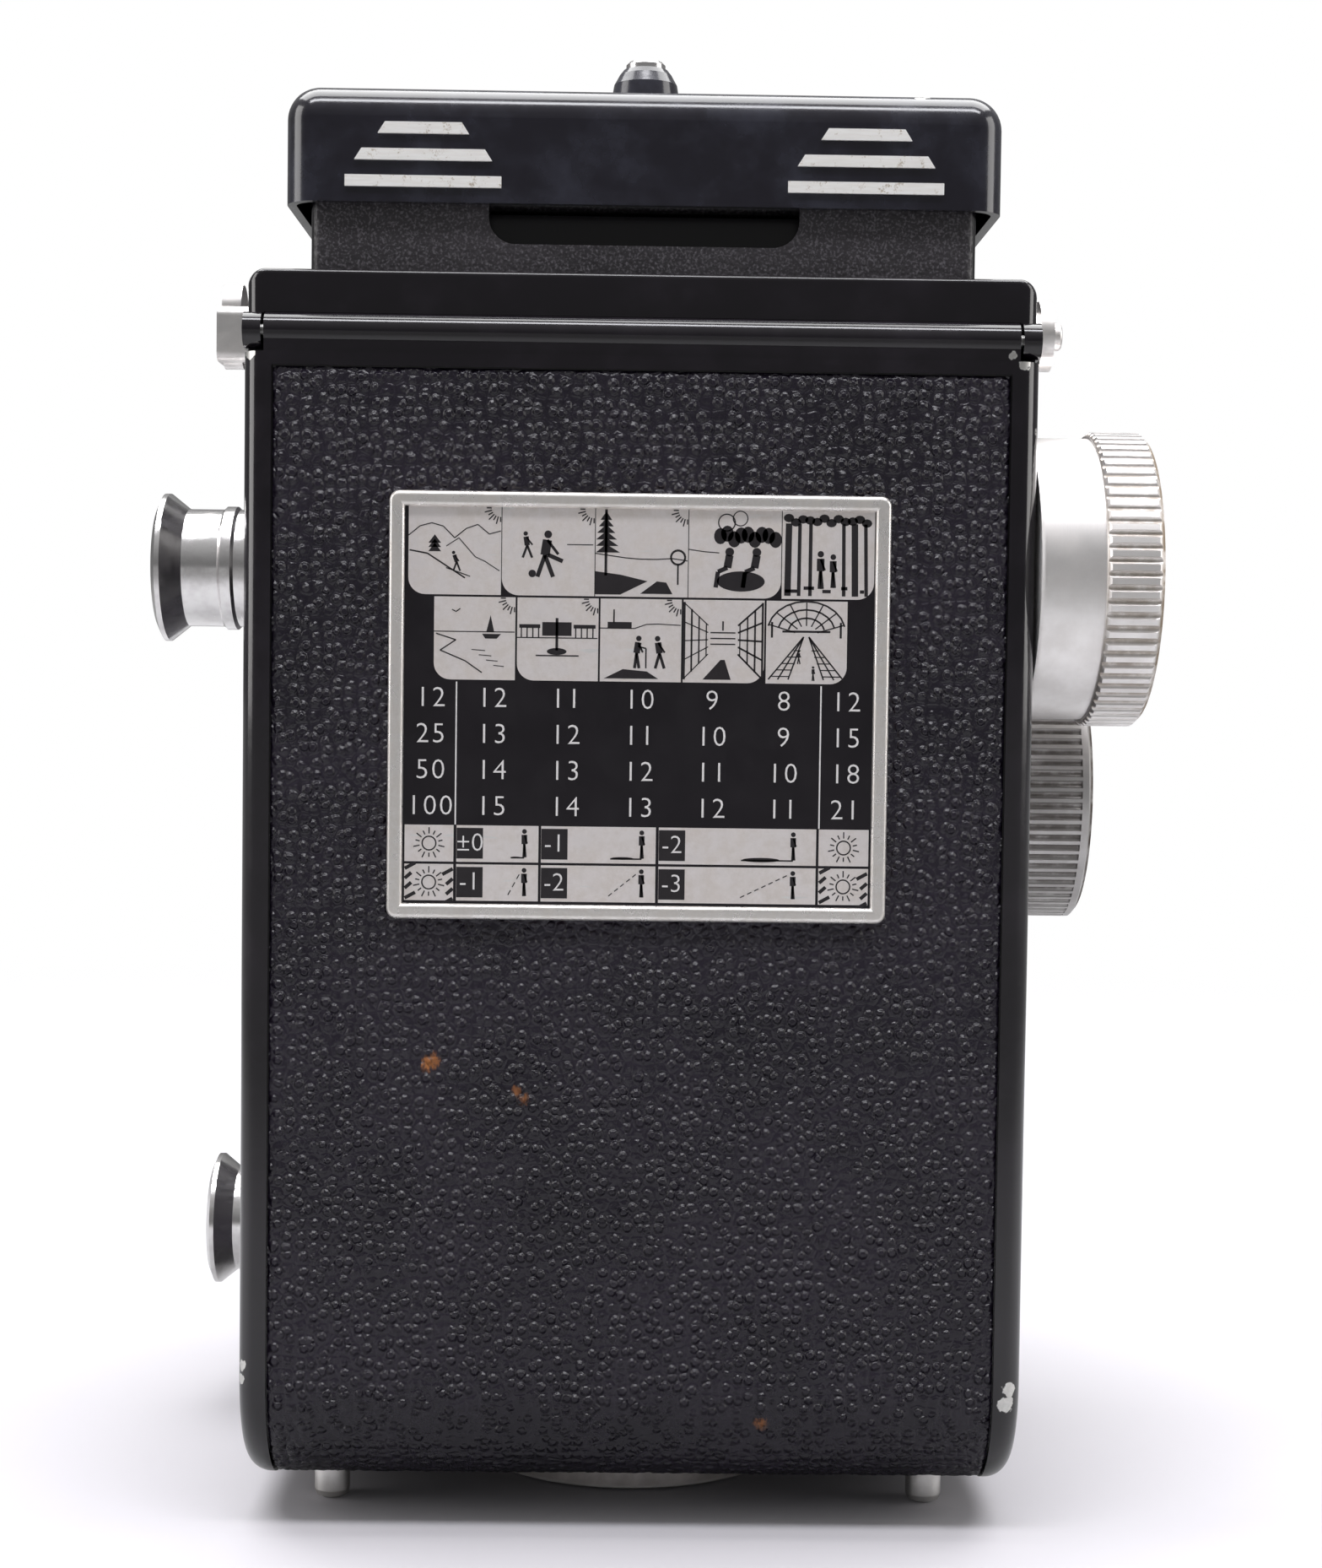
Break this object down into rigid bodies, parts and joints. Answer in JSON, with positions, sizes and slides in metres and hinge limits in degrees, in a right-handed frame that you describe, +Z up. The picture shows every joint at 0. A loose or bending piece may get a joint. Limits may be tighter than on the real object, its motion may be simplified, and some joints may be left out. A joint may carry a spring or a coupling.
{
  "type": "twin lens reflex camera",
  "caption": "Twin lens reflex roll-film camera with folding viewing hood, hinged back with exposure table, wind and focus knobs, spool knobs and tripod socket.",
  "frame": {"origin": "on the axis of the tripod socket, level with its mouth and the feet", "axes": "+Z up, +Y the way the lenses look, +X to the right seen from the back"},
  "size_m": [0.0988, 0.095, 0.1452],
  "materials": {
    "casting_enamel": "gloss",
    "door_enamel": "gloss",
    "lid_enamel": "gloss",
    "hood_crackle": "matte",
    "leather": "pebble grain",
    "satin_chrome": "satin",
    "bright_chrome": "polished",
    "table_print": "satin",
    "inner_black": "matte",
    "steel": "satin",
    "brass": "satin",
    "optical_glass": "polished",
    "ground_glass": "matte",
    "mirror_silver": "polished",
    "spool_black": "satin",
    "dial_black": "satin"
  },
  "bodies": {
    "camera_body": {"body_casting": "casting_enamel", "side_leathers": "leather", "hinge_pins": "steel", "film_gate": "steel", "light_baffle": "inner_black", "supply_pin": "steel", "film_spring": "steel", "mirror": "mirror_silver", "mirror_support": "inner_black", "focusing_screen": "ground_glass", "screen_frame": "inner_black", "hood_base": "hood_crackle", "focus_scale": "satin_chrome", "counter_bezel": "bright_chrome", "counter_window": "optical_glass", "strap_lugs": "satin_chrome"},
    "back_door": {"door_shell": "door_enamel", "door_leather": "leather", "table_plate": "table_print", "table_frame": "bright_chrome", "feet": "satin_chrome", "tripod_boss": "satin_chrome", "tripod_bush": "steel", "pressure_plate": "inner_black", "pressure_springs": "steel"},
    "lock_ring": {"lock_ring": "satin_chrome"},
    "latch_bar": {"latch_bar": "steel"},
    "hood_lid": {"hood_lid": "lid_enamel", "lid_bars": "bright_chrome", "button_collar": "lid_enamel"},
    "lid_button": {"lid_button": "bright_chrome"},
    "magnifier": {"magnifier_arm": "inner_black", "magnifier_lens": "optical_glass"},
    "hood_rear_panel": {"hood_rear_panel": "hood_crackle"},
    "left_wing": {"left_wing": "hood_crackle"},
    "right_wing": {"right_wing": "hood_crackle"},
    "wind_knob": {"wind_knob": "satin_chrome", "wind_shaft": "steel"},
    "take_up_spool": {"take_up_spool": "spool_black"},
    "counter_dial": {"counter_dial": "dial_black"},
    "upper_spool_knob": {"upper_spool_knob": "bright_chrome"},
    "lower_spool_knob": {"lower_spool_knob": "bright_chrome"},
    "upper_roller": {"upper_roller": "steel"},
    "lower_roller": {"lower_roller": "steel"},
    "focus_knob": {"focus_knob": "satin_chrome", "focus_shaft": "steel"},
    "lens_board": {"lens_board": "casting_enamel", "shutter_housing": "satin_chrome", "rear_cell": "brass", "shutter_blades": "steel", "iris_blades": "inner_black", "taking_barrel": "dial_black", "viewing_barrel": "satin_chrome", "lens_bayonets": "bright_chrome", "lens_glasses": "optical_glass", "board_sockets": "bright_chrome", "board_screws": "steel"},
    "release_lever": {"release_lever": "bright_chrome"},
    "aperture_lever": {"aperture_lever": "bright_chrome"},
    "speed_lever": {"speed_lever": "bright_chrome"}
  },
  "joints": [
    {"name": "back_door_hinge", "type": "hinge", "parent": "camera_body", "child": "back_door", "pos_m": [0, -0.02925, 0.1168], "axis": [-1, 0, 0], "range_deg": [0, 140]},
    {"name": "lock_ring_turn", "type": "hinge", "parent": "back_door", "child": "lock_ring", "pos_m": [0, 0, 0], "axis": [0, 0, 1], "range_deg": [0, 60]},
    {"name": "latch_slide", "type": "slide", "parent": "back_door", "child": "latch_bar", "axis": [0, -1, 0], "range_m": [0, 0.003]},
    {"name": "hood_lid_hinge", "type": "hinge", "parent": "camera_body", "child": "hood_lid", "pos_m": [0, 0.0331, 0.1299], "axis": [-1, 0, 0], "range_deg": [0, 92]},
    {"name": "hood_rear_fold", "type": "hinge", "parent": "camera_body", "child": "hood_rear_panel", "pos_m": [0, -0.0206, 0.1308], "axis": [1, 0, 0], "range_deg": [0, 90]},
    {"name": "left_wing_fold", "type": "hinge", "parent": "camera_body", "child": "left_wing", "pos_m": [-0.0299, 0, 0.1294], "axis": [0, -1, 0], "range_deg": [0, 90]},
    {"name": "right_wing_fold", "type": "hinge", "parent": "camera_body", "child": "right_wing", "pos_m": [0.0299, 0, 0.1294], "axis": [0, 1, 0], "range_deg": [0, 90]},
    {"name": "magnifier_fold", "type": "hinge", "parent": "hood_lid", "child": "magnifier", "pos_m": [0, 0.0121, 0.1379], "axis": [1, 0, 0], "range_deg": [0, 92]},
    {"name": "lid_button_press", "type": "slide", "parent": "hood_lid", "child": "lid_button", "axis": [0, 0, -1], "range_m": [0, 0.001], "stiffness_N_per_m": 400, "springref_m": -0.0005},
    {"name": "wind_knob_turn", "type": "hinge", "parent": "camera_body", "child": "wind_knob", "pos_m": [0, -0.017, 0.0945], "axis": [1, 0, 0], "continuous": true},
    {"name": "take_up_turn", "type": "hinge", "parent": "camera_body", "child": "take_up_spool", "pos_m": [0, -0.017, 0.0945], "axis": [1, 0, 0], "continuous": true},
    {"name": "counter_turn", "type": "hinge", "parent": "camera_body", "child": "counter_dial", "pos_m": [0.034, 0.006, 0.106], "axis": [1, 0, 0], "continuous": true},
    {"name": "upper_knob_pull", "type": "slide", "parent": "camera_body", "child": "upper_spool_knob", "axis": [-1, 0, 0], "range_m": [0, 0.0075], "stiffness_N_per_m": 300, "springref_m": -0.002},
    {"name": "lower_knob_pull", "type": "slide", "parent": "camera_body", "child": "lower_spool_knob", "axis": [-1, 0, 0], "range_m": [0, 0.0075], "stiffness_N_per_m": 300, "springref_m": -0.002},
    {"name": "upper_roller_turn", "type": "hinge", "parent": "camera_body", "child": "upper_roller", "pos_m": [0, -0.0252, 0.0831], "axis": [1, 0, 0], "continuous": true},
    {"name": "lower_roller_turn", "type": "hinge", "parent": "camera_body", "child": "lower_roller", "pos_m": [0, -0.024, 0.0175], "axis": [1, 0, 0], "continuous": true},
    {"name": "focus_knob_turn", "type": "hinge", "parent": "camera_body", "child": "focus_knob", "pos_m": [0, 0.009, 0.072], "axis": [1, 0, 0], "range_deg": [0, 300]},
    {"name": "focus_slide", "type": "slide", "parent": "camera_body", "child": "lens_board", "axis": [0, 1, 0], "range_m": [0, 0.007]},
    {"name": "release_lever_turn", "type": "hinge", "parent": "lens_board", "child": "release_lever", "pos_m": [0, 0, 0.0515], "axis": [0, 1, 0], "range_deg": [-22, 22], "stiffness_Nm_per_rad": 0.02},
    {"name": "aperture_lever_turn", "type": "hinge", "parent": "lens_board", "child": "aperture_lever", "pos_m": [0, 0, 0.0515], "axis": [0, 1, 0], "range_deg": [0, 35]},
    {"name": "speed_lever_turn", "type": "hinge", "parent": "lens_board", "child": "speed_lever", "pos_m": [0, 0, 0.0515], "axis": [0, -1, 0], "range_deg": [0, 40]}
  ],
  "couplings": [
    {"joint": "lock_ring_turn", "follows": "latch_slide", "rad_per_m": 349},
    {"joint": "hood_rear_fold", "follows": "hood_lid_hinge", "ratio": 0.978},
    {"joint": "left_wing_fold", "follows": "hood_lid_hinge", "ratio": 0.978},
    {"joint": "right_wing_fold", "follows": "hood_lid_hinge", "ratio": 0.978},
    {"joint": "magnifier_fold", "follows": "hood_lid_hinge", "ratio": 1},
    {"joint": "take_up_turn", "follows": "wind_knob_turn", "ratio": 1},
    {"joint": "counter_turn", "follows": "wind_knob_turn", "ratio": -0.04},
    {"joint": "focus_knob_turn", "follows": "focus_slide", "rad_per_m": 747.9}
  ]
}
